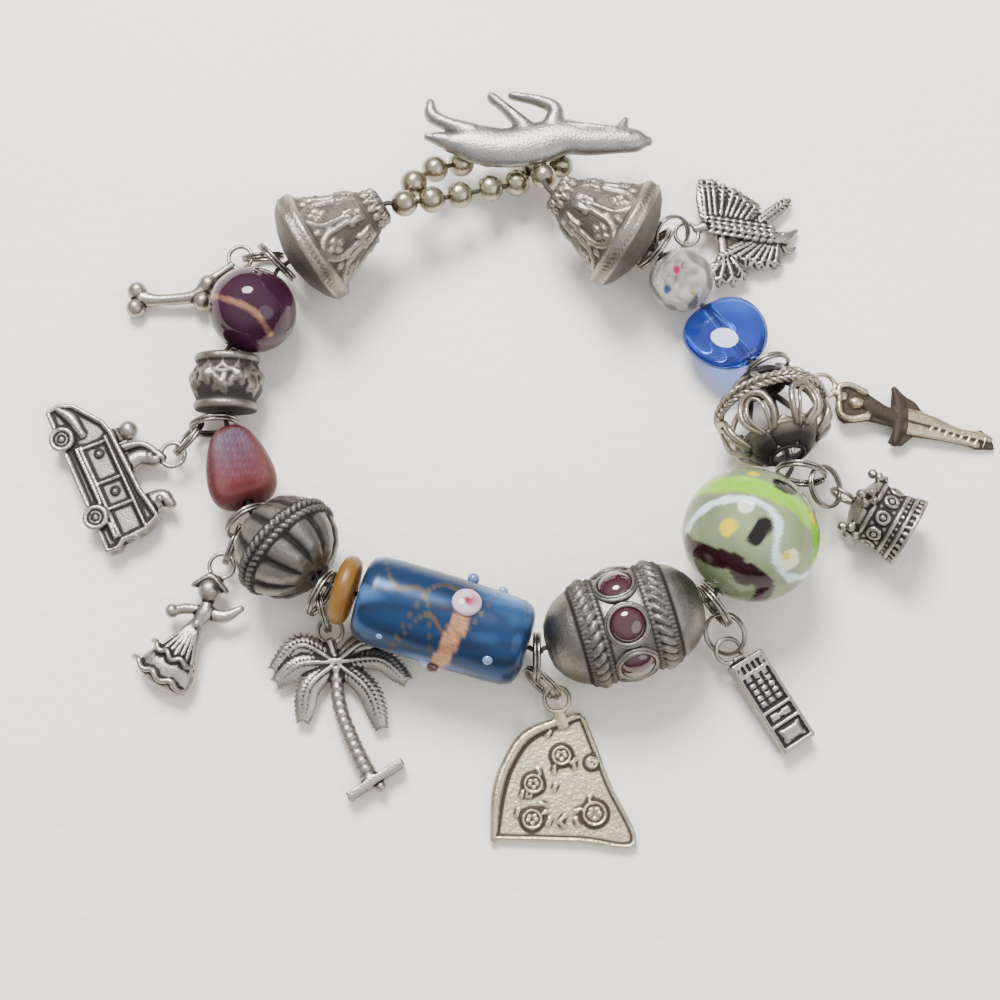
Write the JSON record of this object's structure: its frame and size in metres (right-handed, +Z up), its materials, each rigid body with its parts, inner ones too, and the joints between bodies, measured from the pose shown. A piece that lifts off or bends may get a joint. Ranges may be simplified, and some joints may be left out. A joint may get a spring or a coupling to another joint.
{
  "type": "charm bracelet",
  "caption": "Charm bracelet of large glass and silver beads with silver charms and a leaping animal toggle clasp.",
  "frame": {"origin": "middle of the bracelet's box at the surface it lies on", "axes": "+X to the right of the picture, +Y away from the viewer towards the clasp, +Z up from the surface"},
  "size_m": [0.1412, 0.1134, 0.0202],
  "materials": {
    "silver": "satin oxidised silver",
    "dark_silver": "dark oxidised silver",
    "clear_glass": "clear glass over crinkled silver foil",
    "cobalt_glass": "clear cobalt glass",
    "green_glass": "clear grey-green glass with coloured swirls",
    "blue_glass": "steel-blue foil glass",
    "amber_glass": "frosted amber glass",
    "red_glass": "dark red glass with a grey sheen",
    "purple_glass": "dark amethyst glass",
    "cord": "twisted dark beading thread"
  },
  "bodies": {
    "root": {"cone_right": "dark_silver", "foil_bead": "clear_glass", "blue_drop": "cobalt_glass", "openwork_bead": "silver", "lampwork_bead": "green_glass", "garnet_bead": "dark_silver", "blue_barrel": "blue_glass", "amber_disc": "amber_glass", "fluted_bead": "dark_silver", "red_bead": "red_glass", "floral_bead": "dark_silver", "purple_bead": "purple_glass", "cone_left": "dark_silver", "stringing_cord": "cord", "bird_cord_ring": "silver", "bird_link_ring": "silver", "bird_charm": "silver", "dancer_cord_ring": "silver", "dancer_link_ring": "silver", "dancer_charm": "dark_silver", "crown_cord_ring": "silver", "crown_link_ring": "silver", "crown_charm": "silver", "phone_cord_ring": "silver", "phone_link_ring": "silver", "phone_charm": "silver", "pizza_cord_ring": "silver", "pizza_link_ring": "silver", "pizza_charm": "silver", "palm_cord_ring": "silver", "palm_link_ring": "silver", "palm_charm": "silver", "girl_cord_ring": "silver", "girl_link_ring": "silver", "girl_charm": "silver", "car_cord_ring": "silver", "car_link_ring": "silver", "car_charm": "silver", "bone_cord_ring": "silver", "bone_link_ring": "silver", "bone_charm": "silver", "bead_loop": "silver", "toggle_shank": "silver", "toggle_animal": "silver"}
  },
  "joints": []
}
